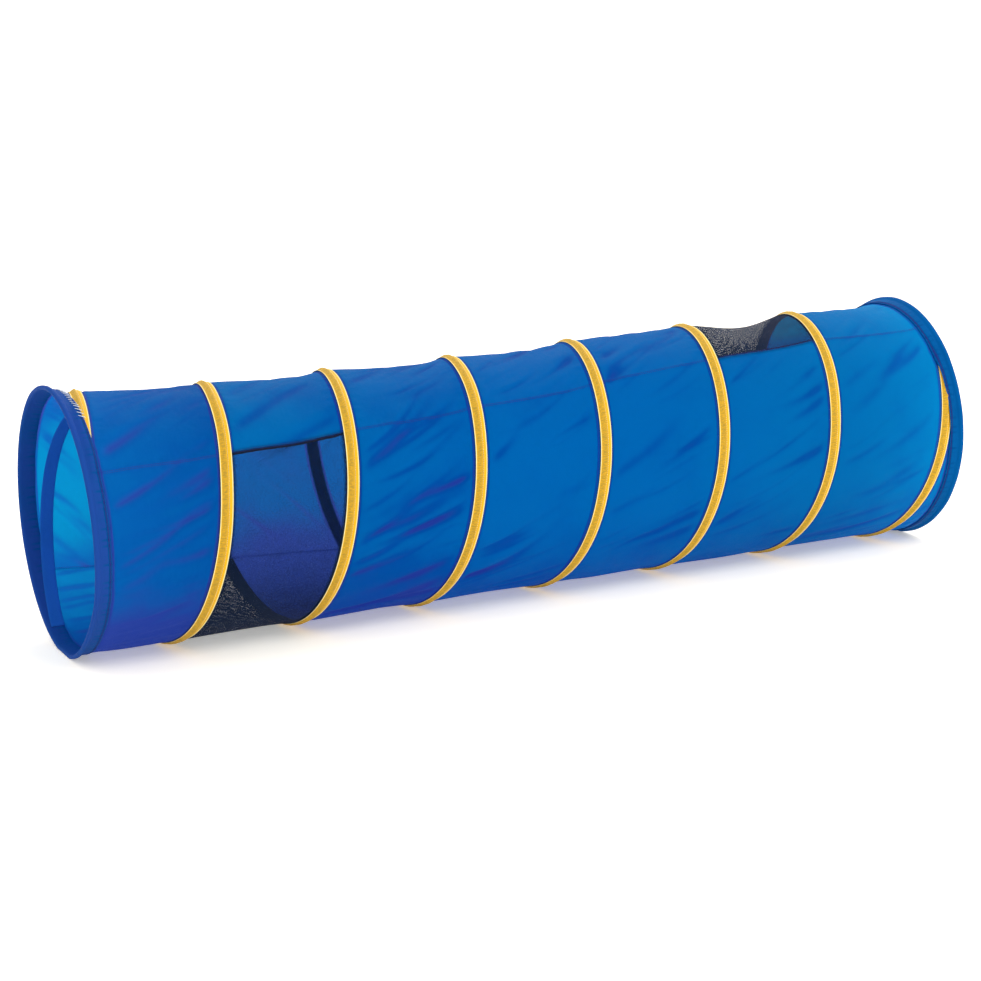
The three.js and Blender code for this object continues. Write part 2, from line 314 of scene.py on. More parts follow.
def recalculate(obj):
    """Turns a closed mesh's faces outwards."""
    bm = bmesh.new()
    bm.from_mesh(obj.data)
    bmesh.ops.recalc_face_normals(bm, faces=bm.faces)
    bm.to_mesh(obj.data)
    bm.free()


def face_out(obj):
    """Turns an open sheet's faces away from the tunnel's axis."""
    mesh = obj.data
    middle = mesh.polygons[len(mesh.polygons) // 2]
    outward = middle.center.copy()
    outward.x = 0
    outward.z -= AXIS_HEIGHT
    if middle.normal.dot(outward) < 0:
        mesh.flip_normals()


JOINTS = {joint["child"]: joint for joint in frame["record"]["behaviour"]["joints"]}


def attach(obj, look, body, nodes=(), soft=True):
    """Gives a piece its look and its body, and hides the CAD parts it replaces. What is soft and moves with a
    jointed body gets a mesh of its own.
    """
    obj.data.materials.append(look)
    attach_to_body(obj, body)
    if nodes:
        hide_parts(*nodes)
    if soft and body in JOINTS:
        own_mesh(obj)


# ---------------------------------------------------------------- node helpers for materials

class Look:
    """A material under construction, with short ways to add the nodes it needs."""

    def __init__(self, name):
        self.material = bpy.data.materials.new(name)
        self.material.use_nodes = True
        self.tree = self.material.node_tree
        self.tree.nodes.clear()
        self.output = self.node("ShaderNodeOutputMaterial")
        uv = self.node("ShaderNodeUVMap")
        uv.uv_map = "UVMap"
        self.uv = uv.outputs["UV"]
        self.place = self.node("ShaderNodeTexCoord").outputs["Object"]

    def node(self, kind):
        return self.tree.nodes.new(kind)

    def put(self, socket, value):
        """Sets a socket to a number or a vector, or links another node's output to it."""
        if isinstance(value, bpy.types.NodeSocket):
            self.tree.links.new(value, socket)
        elif value is not None:
            socket.default_value = value

    def maths(self, operation, a, b=None, clamp=False):
        node = self.node("ShaderNodeMath")
        node.operation = operation
        node.use_clamp = clamp
        self.put(node.inputs[0], a)
        self.put(node.inputs[1], b)
        return node.outputs[0]

    def split(self, vector):
        node = self.node("ShaderNodeSeparateXYZ")
        self.put(node.inputs[0], vector)
        return node.outputs

    def scaled(self, vector, scale):
        node = self.node("ShaderNodeVectorMath")
        node.operation = "MULTIPLY"
        self.put(node.inputs[0], vector)
        self.put(node.inputs[1], scale)
        return node.outputs[0]

    def noise(self, vector, scale, detail=2.0, roughness=0.5, distortion=0.0):
        node = self.node("ShaderNodeTexNoise")
        self.put(node.inputs["Vector"], vector)
        self.put(node.inputs["Scale"], scale)
        self.put(node.inputs["Detail"], detail)
        self.put(node.inputs["Roughness"], roughness)
        self.put(node.inputs["Distortion"], distortion)
        return node.outputs["Fac"]

    def ramp(self, value, low, high, to_low=0.0, to_high=1.0):
        node = self.node("ShaderNodeMapRange")
        node.interpolation_type = "SMOOTHSTEP"
        for socket, v in zip(node.inputs, (value, low, high, to_low, to_high)):
            self.put(socket, v)
        return node.outputs[0]

    def put_colour(self, socket, colour):
        self.put(socket, colour if isinstance(colour, bpy.types.NodeSocket) else (*colour, 1))

    def mix(self, share, a, b):
        node = self.node("ShaderNodeMix")
        node.data_type = "RGBA"
        self.put(node.inputs[0], share)
        self.put_colour(node.inputs[6], a)
        self.put_colour(node.inputs[7], b)
        return node.outputs[2]

    def weave(self, pitch):
        """Plain weave: threads that go over and under, as a height from 0 to 1."""
        u, v, _ = self.split(self.uv)
        turn = 2 * math.pi / pitch
        warp = self.maths("SINE", self.maths("MULTIPLY", u, turn))
        weft = self.maths("SINE", self.maths("MULTIPLY", v, turn))
        both = self.maths("MULTIPLY", warp, weft)
        return self.maths("MULTIPLY_ADD", both, 0.5)

    def bump(self, height, distance, strength=1.0, normal=None):
        node = self.node("ShaderNodeBump")
        self.put(node.inputs["Strength"], strength)
        self.put(node.inputs["Distance"], distance)
        self.put(node.inputs["Height"], height)
        self.put(node.inputs["Normal"], normal)
        return node.outputs[0]

    def attribute(self, name):
        node = self.node("ShaderNodeAttribute")
        node.attribute_name = name
        return node.outputs["Fac"]

    def principled(self, **inputs):
        node = self.node("ShaderNodeBsdfPrincipled")
        for name, value in inputs.items():
            socket = node.inputs[name.replace("_", " ")]
            if isinstance(value, tuple) and len(value) == 3 and socket.type == "RGBA":
                value = (*value, 1)
            self.put(socket, value)
        return node

    def blend(self, share, first, second):
        node = self.node("ShaderNodeMixShader")
        self.put(node.inputs[0], share)
        self.tree.links.new(first.outputs[0], node.inputs[1])
        self.tree.links.new(second.outputs[0], node.inputs[2])
        return node

    def shader(self, kind, colour, normal=None):
        node = self.node(kind)
        self.put_colour(node.inputs["Color"], colour)
        if normal is not None:
            self.put(node.inputs["Normal"], normal)
        return node

    def finish(self, shader):
        self.tree.links.new(shader.outputs[0], self.output.inputs["Surface"])
        return self.material


def nylon(name, lit, through, share, far_share=0.0):
    """Thin nylon: sheen and crinkle on its face, and a share of light that comes through from behind.

    Where a mesh has the attribute "thin", far_share comes on top of that share.
    """
    look = Look(name)
    # Painted shade: the "fold" attribute turns the lit blue to a shaded deeper blue and then a deep-shade
    # violet, on the face and in the light through it; the blotch is the dye's own uneven tone
    fold = look.attribute("fold")
    blotch = look.noise(look.uv, 9.0, 3.0)
    tint = look.maths("ADD", fold, look.ramp(blotch, 0.35, 0.75, 0.0, 0.14), clamp=True)
    shaded_share, deep_shade_share = look.ramp(tint, 0.0, 0.5), look.ramp(tint, 0.45, 1.0)
    colour = look.mix(deep_shade_share, look.mix(shaded_share, lit, SHADED_AND_GRAIN_BLUE), DEEP_SHADE_VIOLET)
    grain = look.noise(look.uv, 1400.0, 1.0)
    colour = look.mix(look.ramp(grain, 0.3, 0.7, 0.0, 0.10), colour, SHADED_AND_GRAIN_BLUE)
    crinkle = look.noise(look.scaled(look.uv, (1.0, 1.6, 1.0)), 60.0, 4.0, 0.6, 0.4)
    normal = look.bump(crinkle, 0.0016, 0.35)
    normal = look.bump(look.weave(0.0005), 0.00008, 0.6, normal)
    face = look.principled(
        Base_Color=colour,
        Roughness=look.ramp(crinkle, 0.2, 0.8, 0.48, 0.62),
        Specular_IOR_Level=0.025,
        Specular_Tint=(0.05, 0.55, 1.0),
        Sheen_Weight=0.03,
        Sheen_Roughness=0.4,
        Sheen_Tint=(0.0, 0.5, 1.0),
        Normal=normal,
    )
    passed = look.mix(deep_shade_share, look.mix(shaded_share, through, SHADED_THROUGH), DEEP_SHADE_VIOLET_THROUGH)
    back = look.shader("ShaderNodeBsdfTranslucent", passed, normal)
    if far_share:
        share = look.maths("ADD", look.maths("MULTIPLY", look.attribute("thin"), far_share), share)
    return look.finish(look.blend(share, face, back))


def netting():
    """Black knitted net: round holes between threads, so it darkens what is behind it."""
    look = Look("black_netting")
    holes = look.node("ShaderNodeTexVoronoi")
    holes.feature = "F1"
    look.put(holes.inputs["Vector"], look.uv)
    look.put(holes.inputs["Scale"], 1 / NET_PITCH)
    look.put(holes.inputs["Randomness"], 0.25)
    # Painted shade: where the "fold" attribute is high the threads close up the holes and darken the net; it
    # also holds each window's net density
    dense = look.maths("MULTIPLY", look.attribute("fold"), 0.22)
    thread = look.ramp(look.maths("ADD", holes.outputs["Distance"], dense), 0.385, 0.475)
    wear = look.noise(look.uv, 30.0, 3.0)
    face = look.principled(
        Base_Color=look.mix(wear, NET_BLACK, NET_WORN),
        Roughness=0.85,
        Specular_IOR_Level=0.04,
        Sheen_Weight=0.03,
        Sheen_Roughness=0.5,
        Sheen_Tint=(0.5, 0.5, 1.0),
        Normal=look.bump(holes.outputs["Distance"], 0.0004, 0.7),
    )
    clear = look.shader("ShaderNodeBsdfTransparent", (1, 1, 1))
    return look.finish(look.blend(thread, clear, face))


def tape_look():
    """Yellow binding tape. u runs across it in metres from its middle, v along it."""
    look = Look("yellow_tape")
    across, along, _ = look.split(look.uv)
    mottle = look.noise(look.scaled(look.uv, (420.0, 300.0, 1.0)), 1.0, 3.0, 0.65)
    hatch = look.noise(look.scaled(look.uv, (160.0, 620.0, 1.0)), 1.0, 2.0, 0.5, 0.8)
    gold = look.mix(look.ramp(mottle, 0.3, 0.7), TAPE_GOLD, TAPE_DARK_GOLD)
    # Painted shade on the channel's left slope, up to the wire, with darker streaks in it
    shaded_side = look.mix(look.ramp(hatch, 0.35, 0.65), TAPE_SHADED_SIDE, TAPE_DARK_SHADED_SIDE)
    channel = look.maths("MULTIPLY", look.ramp(across, -0.0098, -0.0078), look.ramp(across, 0.0012, -0.0004))
    colour = look.mix(look.maths("MULTIPLY", channel, 0.85), gold, shaded_side)
    # Painted shade in the groove where the tape is sewn down beside the wire
    groove = look.ramp(look.maths("ABSOLUTE", look.maths("SUBTRACT", across, 0.0028)), 0.0013, 0.0004)
    colour = look.mix(look.maths("MULTIPLY", groove, 0.7), colour, TAPE_GROOVE_SHADE)
    from_middle = look.maths("ABSOLUTE", across)
    colour = look.mix(look.ramp(from_middle, 0.0096, 0.0104), colour, TAPE_EDGE)
    # Painted shadow: a dark line along each edge, where the tape meets the cloth
    colour = look.mix(look.ramp(from_middle, 0.0113, 0.0117), colour, TAPE_EDGE_SHADOW)
    rib = look.maths("SINE", look.maths("MULTIPLY", along, 2 * math.pi / 0.0009))
    normal = look.bump(mottle, 0.0006, 0.5)
    normal = look.bump(rib, 0.00012, 0.5, normal)
    face = look.principled(
        Base_Color=colour,
        Roughness=look.ramp(mottle, 0.2, 0.8, 0.55, 0.75),
        Specular_IOR_Level=0.15,
        Sheen_Weight=0.08,
        Sheen_Roughness=0.5,
        Sheen_Tint=(1.0, 0.85, 0.4),
        Normal=normal,
    )
    return look.finish(face)


def binding_look():
    """Black bias tape with a fine rib."""
    look = Look("black_binding")
    _, along, _ = look.split(look.uv)
    lint = look.noise(look.uv, 700.0, 3.0, 0.7)
    rib = look.maths("SINE", look.maths("MULTIPLY", along, 2 * math.pi / 0.0011))
    normal = look.bump(rib, 0.00015, 0.6, look.bump(lint, 0.0005, 0.4))
    face = look.principled(
        Base_Color=look.mix(look.ramp(lint, 0.35, 0.8), BINDING_BLACK, BINDING_LINT),
        Roughness=0.85,
        Specular_IOR_Level=0.15,
        Sheen_Weight=0.1,
        Sheen_Roughness=0.5,
        Sheen_Tint=(0.6, 0.5, 0.6),
        Normal=normal,
    )
    return look.finish(face)


def thread_look(name, colour):
    """Twisted sewing thread."""
    look = Look(name)
    twist = look.noise(look.scaled(look.place, (900.0, 900.0, 900.0)), 1.0, 2.0)
    face = look.principled(
        Base_Color=look.mix(look.ramp(twist, 0.3, 0.7), colour, tuple(c * 0.72 for c in colour)),
        Roughness=0.7,
        Specular_IOR_Level=0.15,
        Normal=look.bump(twist, 0.0002, 0.6),
    )
    return look.finish(face)


def steel_look():
    """Drawn spring wire: bright, with fine lines along it and a little tarnish."""
    look = Look("spring_steel")
    tarnish = look.noise(look.place, 40.0, 4.0, 0.6)
    lines = look.noise(look.scaled(look.place, (2500.0, 250.0, 250.0)), 1.0, 2.0)
    face = look.principled(
        Base_Color=look.mix(look.ramp(tarnish, 0.4, 0.7), STEEL, TARNISH),
        Metallic=1.0,
        Roughness=look.ramp(lines, 0.2, 0.8, 0.25, 0.45),
        Normal=look.bump(lines, 0.00005, 0.4),
    )
    return look.finish(face)


CLOTH_LOOK = nylon("blue_nylon", BLUE, BLUE_THROUGH, 0.42, 0.24)
# The left hem's doubled cloth in painted shade, and the right hem's painted lit
SHADED_HEM_LOOK = nylon("blue_nylon_doubled_painted_shade", SHADED_HEM_BLUE, SHADED_HEM_THROUGH, 0.22)
LIT_HEM_LOOK = nylon("blue_nylon_lit_hem", LIT_HEM_BLUE, LIT_HEM_THROUGH, 0.30)
STAY_LOOK = nylon("blue_nylon_stay", LIT_STAY_BLUE, SHADED_HEM_THROUGH, 0.30)
NET_LOOK = netting()
TAPE_LOOK = tape_look()
BINDING_LOOK = binding_look()
CREAM_THREAD = thread_look("cream_thread", CREAM)
WHITE_THREAD = thread_look("white_thread", WHITE)
BLUE_THREAD = thread_look("violet_blue_thread", THREAD_BLUE)
STEEL_LOOK = steel_look()


# ---------------------------------------------------------------- cloth between the turns

PANEL_LAP = math.degrees(0.0008 / CLOTH)  # how far an upper panel laps the far seam
TIP = 3  # degrees that a tapering piece stops short of its point
GUSSET_TIP = 360 * (CROWNS[0] - CLOTH_END) / START_SLOPE - TIP
LAST_PANEL_TIP = 360 * (CROWNS[-1] - LENGTH + CLOTH_END) / (CROWNS[-1] - CROWNS[-2]) + TIP


def bay_edges(bay, angle):
    """Where a bay's cloth starts and ends along the tunnel, at an angle round it."""
    edges = (coil_x(bay - angle / 360), coil_x(bay + 1 - angle / 360))
    return tuple(np.clip(edge, CLOTH_END, LENGTH - CLOTH_END) for edge in edges)


def row_of(bay):
    """Where a bay is in the lists by bay. The gusset before the first bay shares its row."""
    return max(bay, 0)


def fold_field(bay, x, angle):
    """Slanting folds between two turns: how far they lift the cloth, and how much painted shade their hollows
    get by how deep they are.
    """
    rng = random.Random(311 + bay)
    arc = CLOTH * np.radians(angle)
    lift, fold_shade = np.zeros_like(x), np.zeros_like(x)
    for _ in range(FOLDS_PER_BAY):
        at = rng.uniform(*FOLDS_BETWEEN)
        left, right = bay_edges(bay, at)
        centre = left + (right - left) * rng.uniform(0.1, 1.0)
        slant = float(np.clip(FOLD_SLANT - FOLD_SLANT_FALL * at, *FOLD_SLANT_LIMITS))
        slant = math.radians(slant + rng.uniform(-FOLD_SLANT_SPREAD, FOLD_SLANT_SPREAD))
        size = rng.random()
        length = 0.040 + 0.060 * rng.random()
        width = 0.0045 + 0.0090 * size**2
        depth = (0.0003 + 0.0022 * size * rng.random()) * FOLDS[row_of(bay)]
        bend = rng.uniform(*FOLD_BEND)
        dx, dy = x - centre, arc - CLOTH * math.radians(at)
        a = dx * math.cos(slant) - dy * math.sin(slant)
        b = dx * math.sin(slant) + dy * math.cos(slant) + bend * a * a
        stretch = np.exp(-((a / length) ** 2))
        crease = np.exp(-((b / width) ** 2)) * stretch
        ridge = np.exp(-(((b + 1.9 * width) / (1.3 * width)) ** 2)) * stretch
        lift += depth * (0.8 * ridge - crease)
        # Painted shade in the fold's hollow, deeper as the fold is deeper
        hollow = np.exp(-((b / (0.8 * width)) ** 2)) * stretch
        fold_shade += FOLD_SHADES[row_of(bay)] * hollow * depth / FOLD_FULL_DEPTH
    if bay == 0:
        for _ in range(PLEATS):
            at = rng.uniform(*PLEATS_BETWEEN)
            b = CLOTH * np.radians(angle - at - noise(x / 0.05, 0 * x + at, 7))
            middle = rng.uniform(0.05, 0.11)
            crease = np.exp(-((b / PLEAT_WIDTH) ** 2)) * np.exp(-(((x - middle) / 0.07) ** 2))
            lift -= PLEAT_DEPTH * crease
            # Painted shade in each pleat
            fold_shade += rng.uniform(0.5, 1.2) * crease
    return lift, np.clip(fold_shade, 0, 1)


def cloth_radius(bay, x, angle, strength=1.0):
    """The cloth's radius, with its dip between the turns, its folds and its puckers, and the painted shade in
    its folds and beside the tape.
    """
    left, right = bay_edges(bay, angle)
    starts = np.maximum(left + TAPE_HALF, HEM_WIDTH)
    ends = np.minimum(right - TAPE_HALF, LENGTH - HEM_WIDTH)
    across = np.clip((x - starts) / np.maximum(ends - starts, 0.001), 0, 1)
    if bay == WINDOWS["upper"]:  # the net sags in the middle, and only over the top
        dip = np.sin(np.pi * across**1.15) ** 1.2
        dip = dip * (0.2 + 0.8 * (1 - smooth(angle, 5, 35)) * smooth(angle, -110, -60))
    else:  # cloth dips most two thirds of the way to its right turn
        dip = across**1.4 * (1 - across) ** 0.7 / SAG_SCALE
    wide = smooth(ends - starts, 0.02, 0.22)
    under = 1 - (1 - SAG_UNDER) * smooth(-np.cos(np.radians(angle)), 0.25, 0.9)
    radius = CLOTH - SAG[row_of(bay)] * dip * under * wide
    edge = np.minimum(x - starts, ends - x)
    free = smooth(edge, -0.001, 0.03)
    lift, fold_shade = fold_field(bay, x, angle)
    arc = CLOTH * np.radians(angle)
    slow = noise(x / 0.09, arc / 0.07, 3 + bay) * 0.0012
    pucker = noise(x / 0.028, arc / 0.0075, 17) * 0.0007 * smooth(edge, -0.001, 0.004)
    pucker = pucker * (1 - smooth(edge, 0.006, 0.030))
    # Beside the tape the cloth dips into a groove, and painted shadow darkens it
    groove = np.exp(-(((edge - 0.0018) / 0.0022) ** 2))
    radius = radius + (lift + slow) * free * strength + pucker - 0.0010 * groove
    tint = fold_shade * free * strength + 0.8 * groove
    return radius, tint


def panel_angles(bay, upper, x):
    """The angles that a bay's upper or lower cloth runs from and to, at a distance along the tunnel."""
    seam = seam_angle(x)
    start, end = (seam - 180 - PANEL_LAP, seam) if upper else (seam, seam + 180)
    if bay < 0:
        end = np.full_like(x, GUSSET_TIP)
    if bay == TURNS:
        start = np.maximum(seam, LAST_PANEL_TIP)
    return start, end


def panel_grid(bay, upper):
    """Points over a bay's upper or lower cloth: how far along, and the angle."""
    left, right = bay_edges(bay, np.linspace(-160, 260, 841))
    cols = max(int(np.max(right - left) / MESH_STEP), 6)
    rows = int(math.pi * CLOTH / MESH_STEP)
    v = np.linspace(0, 1, cols)[None, :]
    s = np.linspace(0, 1, rows)[:, None]
    angle = np.broadcast_to(90.0 * s, (rows, cols))
    for _ in range(8):  # each of x and the angle depends on the other, and they soon settle
        left, right = bay_edges(bay, angle)
        low, high = panel_angles(bay, upper, left + (right - left) * v)
        angle = low + (high - low) * s
    left, right = bay_edges(bay, angle)
    return left + (right - left) * v, angle


def seam_pucker(x, angle, along):
    """The sewn seam: a narrow raised lap with small gathers beside it, and painted shade along the lap."""
    off = CLOTH * np.radians(angle - along)
    gathers = noise(x / 0.006, off / 0.05, 29) * 0.0005 * np.exp(-((off / 0.012) ** 2))
    lap = 0.0007 * np.exp(-(((np.abs(off) - 0.0005) / 0.0042) ** 4))
    return gathers + lap, 0.2 * np.exp(-((off / 0.0045) ** 2))


def far_wall(angle):
    """1 on the tunnel's far wall and 0 on the rest of it."""
    return smooth(np.abs(angle - 60), 95, 130)


def painted_bay_shade(bay, angle):
    """How much painted shade deepens the blue on a bay's underside, on its far wall and on the rest of it."""
    row = row_of(bay)
    under = UNDER_SHADE[row] * smooth(-np.cos(np.radians(angle)), 0.15, 0.95)
    if bay <= 0:
        under = under * (1 - 0.7 * smooth(angle, 170, 215))
    far = far_wall(angle)
    return under + FAR_WALL_SHADE[row] * far + BAY_SHADE[row] * (1 - far)


def body_of(bay):
    """The body that a bay's cloth moves with."""
    return "right_end" if bay == TURNS else f"turn_{row_of(bay) + 1}"


def make_panel(bay, upper):
    """One piece of cloth or netting, replacing its CAD solid."""
    half = "upper" if upper else "lower"
    window = bay == WINDOWS[half]
    if window:
        node = f"{half}_window_mesh"
    else:
        node = "upper_end_gusset" if bay < 0 else f"{half}_panel_{bay}"
    x, angle = panel_grid(bay, upper)
    strength = 1.0
    if window:
        turned = np.abs((angle - seam_angle(x) + 90) % 180 - 90)
        strength = 1 - (1 - NET_FOLDS) * smooth(CLOTH * np.radians(turned), 0.0, 0.03)
    radius, tint = cloth_radius(bay, x, angle, strength)
    # Less painted fold shade on the first bay's far wall, seen through the opening
    if bay <= 0:
        tint = tint * (1 - (1 - INSIDE_FOLD_SHADE) * smooth(angle, 150, 190))
    # Painted shade along each seam, weaker at the far one
    for turned, shade in ((0, 1.0), (-180, FAR_SEAM_SHADE), (180, FAR_SEAM_SHADE)):
        lift, dark = seam_pucker(x, angle, seam_angle(x) + turned)
        radius, tint = radius + lift, tint + dark * shade
    tint = tint + painted_bay_shade(bay, angle)
    if window:
        tint = tint + NET_DENSITY[half]
    uv = np.stack([CLOTH * np.radians(angle - 360 * bay), x], -1)
    thin = far_wall(angle) * (bay > 0)
    # The "fold" attribute carries the painted shade, and in a window also the net's density
    obj = grid_object(f"{node}_cloth", place(x, angle, radius), uv, fold=np.clip(tint, 0, 1), thin=thin)
    face_out(obj)
    look, slot = (NET_LOOK, "window_mesh") if window else (CLOTH_LOOK, "tunnel_cloth")
    attach(obj, look, body_of(bay), [node])


# ---------------------------------------------------------------- wire, tape and bindings

def sweep(name, section, angles, centre_x, wrap=False):
    """Carries a closed section of (along, radius, u) points round the axis."""
    offset, radius, u = (values[None, :] for values in np.array(section).T)
    angle = angles[:, None]
    points = place(centre_x[:, None] + offset, angle, radius)
    uv = np.stack(np.broadcast_arrays(u, CLOTH * np.radians(angle)), -1)
    obj = grid_object(name, points, uv, wrap_rows=wrap, wrap_cols=True, caps=not wrap)
    recalculate(obj)
    return obj


def band_section(outline, base):
    """A flat band's section for sweep, from an outline of (along, height) points in millimetres."""
    return [(along / 1000, base + height / 1000, along / 1000) for along, height in outline]


def wire_section(radius, sides):
    """A round wire's section for sweep, centred at this radius from the axis."""
    ring = [2 * math.pi * i / sides for i in range(sides)]
    return [(WIRE_RADIUS * math.cos(a), radius + WIRE_RADIUS * math.sin(a), WIRE_RADIUS * a) for a in ring]


def cut_between_hems(obj, low, high):
    """Cuts a closed mesh square at both hems and closes the cuts."""
    bm = bmesh.new()
    bm.from_mesh(obj.data)
    for x, normal in ((low - END, (-1, 0, 0)), (high - END, (1, 0, 0))):
        geometry = bm.verts[:] + bm.edges[:] + bm.faces[:]
        cut = bmesh.ops.bisect_plane(bm, geom=geometry, plane_co=(x, 0, 0), plane_no=normal, clear_outer=True)
        edges = [e for e in cut["geom_cut"] if isinstance(e, bmesh.types.BMEdge)]
        if edges:
            bmesh.ops.holes_fill(bm, edges=edges)
    bmesh.ops.recalc_face_normals(bm, faces=bm.faces)
    bm.to_mesh(obj.data)
    bm.free()


def tape_angles(turn, step):
    """Angles along a turn's tape, this many metres apart."""
    past = FIRST_TAPE_PAST if turn == 1 else 0
    count = int(2 * math.pi * WIRE * (360 + past) / 360 / step)
    return np.linspace(0.0, 360.0 + past, count)


def tape_wander(arc):
    """How far the tape strays from the coil's line, at a distance along it."""
    return noise(arc / 0.11, 0 * arc, 41) * 0.0008


WIRE_CUT = 0.03  # degrees between a turn of wire's end and the top, where the next turn starts
TAPE_CUT = 0.02  # the same for the tape
TAPE_STEP = 0.0022  # between the points along it, in metres


def make_wire(turn):
    """The spring wire, as one smooth tube for each turn."""
    angles = np.linspace(WIRE_CUT, 360 - WIRE_CUT, 240)
    obj = sweep(f"coil_turn_{turn}_wire", wire_section(WIRE, 10), angles, coil_x(turn - angles / 360))
    cut_between_hems(obj, HEM_WIDTH, LENGTH - HEM_WIDTH)
    attach(obj, STEEL_LOOK, f"turn_{turn}", [f"coil_turn_{turn}"])


# The tape's section, as (distance from its middle, height over the cloth) in millimetres: its face,
# which rises over the wire, and its back
TAPE_OVER = [(-12.5, 0.3), (-12.3, 0.95), (-11.5, 1.25), (-10.6, 1.0), (-9.6, 1.1), (-7.6, 2.0),
             (-5.0, 3.5), (-2.8, 4.9), (-1.2, 5.5), (0.3, 5.6), (1.6, 5.0), (2.5, 3.5), (3.1, 2.7),
             (3.9, 2.75), (5.2, 2.9), (7.4, 2.3), (9.4, 1.2), (10.5, 0.95), (11.5, 1.25), (12.3, 0.95),
             (12.5, 0.3)]
TAPE_UNDER = [(9.2, 0.35), (5.2, 1.9), (3.4, 2.0), (2.2, 3.0), (1.2, 4.4), (0.0, 4.75), (-1.2, 4.6),
              (-2.8, 4.0), (-5.0, 2.7), (-7.6, 1.2), (-9.6, 0.35)]


def make_tape(turn):
    """The casing tape: a channel over the wire, sewn down beside it and along both edges."""
    angles = tape_angles(turn, TAPE_STEP)
    if turn < TURNS:
        angles = angles.clip(TAPE_CUT, None)
    centre = coil_x(turn - angles / 360)
    outline = np.array(TAPE_OVER + TAPE_UNDER) / 1000
    offset, height = outline[None, :, 0], outline[None, :, 1]
    arc = (CLOTH * np.radians(angles - 360 * turn))[:, None]
    gather = noise(arc / 0.0045, offset / 0.004, 5) * 0.00022
    gather = gather + noise(arc / 0.016, offset / 0.012, 9) * 0.0003
    # The gathers are on the tape's face, and fade out at its sewn edges
    over = smooth(np.abs(offset), 0.0120, 0.0100) * (np.arange(len(outline)) < len(TAPE_OVER))
    radius = CLOTH + 0.0001 + height + gather * over
    x = centre[:, None] + offset + tape_wander(arc)
    points = place(x, angles[:, None], radius)
    uv = np.stack(np.broadcast_arrays(offset, arc), -1)
    obj = grid_object(f"casing_turn_{turn}_tape", points, uv, wrap_cols=True, caps=True)
    recalculate(obj)
    cut_between_hems(obj, HEM_WIDTH - 0.006, LENGTH - HEM_WIDTH + 0.006)
    attach(obj, TAPE_LOOK, f"turn_{turn}", [f"casing_turn_{turn}"])


def make_stitches(name, starts, ends, thickness, look, body):
    """Many short stitches, each a small rounded bar from one point to another."""
    sides = 6
    along = (0.0, 0.12, 0.5, 0.88, 1.0)
    fat = (0.35, 0.85, 1.0, 0.85, 0.35)
    starts, ends = np.asarray(starts), np.asarray(ends)
    direction = ends - starts
    direction /= np.linalg.norm(direction, axis=1, keepdims=True)
    middle = (starts + ends) / 2
    out = middle - np.stack([middle[:, 0], 0 * middle[:, 0], 0 * middle[:, 0] + AXIS_HEIGHT], -1)
    out /= np.linalg.norm(out, axis=1, keepdims=True)
    side = np.cross(direction, out)
    rings = []
    for t, f in zip(along, fat):
        centre = starts + (ends - starts) * t + out * thickness * 0.35 * math.sin(math.pi * t)
        for k in range(sides):
            a = 2 * math.pi * k / sides
            rings.append(centre + (side * math.cos(a) + out * math.sin(a)) * thickness / 2 * f)
    verts = np.stack(rings, 1)
    count, per = len(starts), sides * len(along)
    one = grid_faces(len(along), sides, wrap_cols=True).tolist()
    caps = [list(range(sides))[::-1], [per - sides + k for k in range(sides)]]
    faces = [[v + i * per for v in f] for i in range(count) for f in one + caps]
    mesh = bpy.data.meshes.new(name)
    mesh.from_pydata(verts.reshape(-1, 3).tolist(), [], faces)
    mesh.shade_smooth()
    obj = add_object(name, mesh)
    recalculate(obj)
    attach(obj, look, body)


def make_tape_stitches(turn):
    """Three rows of cream stitches: one along each edge of the tape and one beside the wire."""
    angles = tape_angles(turn, STITCH_PITCH)
    step = math.degrees(TAPE_STITCH / CLOTH)
    wander = tape_wander(CLOTH * np.radians(angles - 360 * turn))
    starts, ends = [], []
    for offset, height in ((-0.0113, 0.0013), (0.0113, 0.0013), (0.0034, 0.0030)):
        for points, at in ((starts, angles), (ends, angles + step)):
            x = coil_x(turn - at / 360) + offset + wander
            points.append(np.concatenate([place(x, at, CLOTH + height), x[:, None]], 1))
    first, last = np.concatenate(starts), np.concatenate(ends)
    keep = (first[:, 3] > HEM_WIDTH + 0.002) & (first[:, 3] < LENGTH - HEM_WIDTH - 0.002)
    make_stitches(f"casing_turn_{turn}_stitches", first[keep, :3], last[keep, :3], 0.00075,
                  CREAM_THREAD, f"turn_{turn}")


def make_seam_stitches(bay):
    """Two rows of violet-blue stitches along each long seam, in one bay."""
    line = np.arange(HEM_WIDTH + 0.003, LENGTH - HEM_WIDTH - 0.003, STITCH_PITCH)
    above = 0.0011 if bay in WINDOWS.values() else 0.0008
    starts, ends = [], []
    for far in (0, 180):
        if bay == TURNS and not far:
            continue
        for row in (-1, 1):
            at = seam_angle(line) + far + math.degrees(row * 0.0017 / CLOTH)
            left, right = bay_edges(bay, at)
            inside = (line > left + TAPE_HALF + 0.001) & (line < right - TAPE_HALF - 0.004)
            x, at = line[inside], at[inside]
            if not len(x):
                continue
            radius, _ = cloth_radius(bay, x, at)
            starts.append(place(x, at, radius + above))
            ends.append(place(x + CLOTH_STITCH, at, radius + above))
    make_stitches(f"seam_stitches_{bay}", np.concatenate(starts), np.concatenate(ends), 0.0007,
                  BLUE_THREAD, body_of(bay))


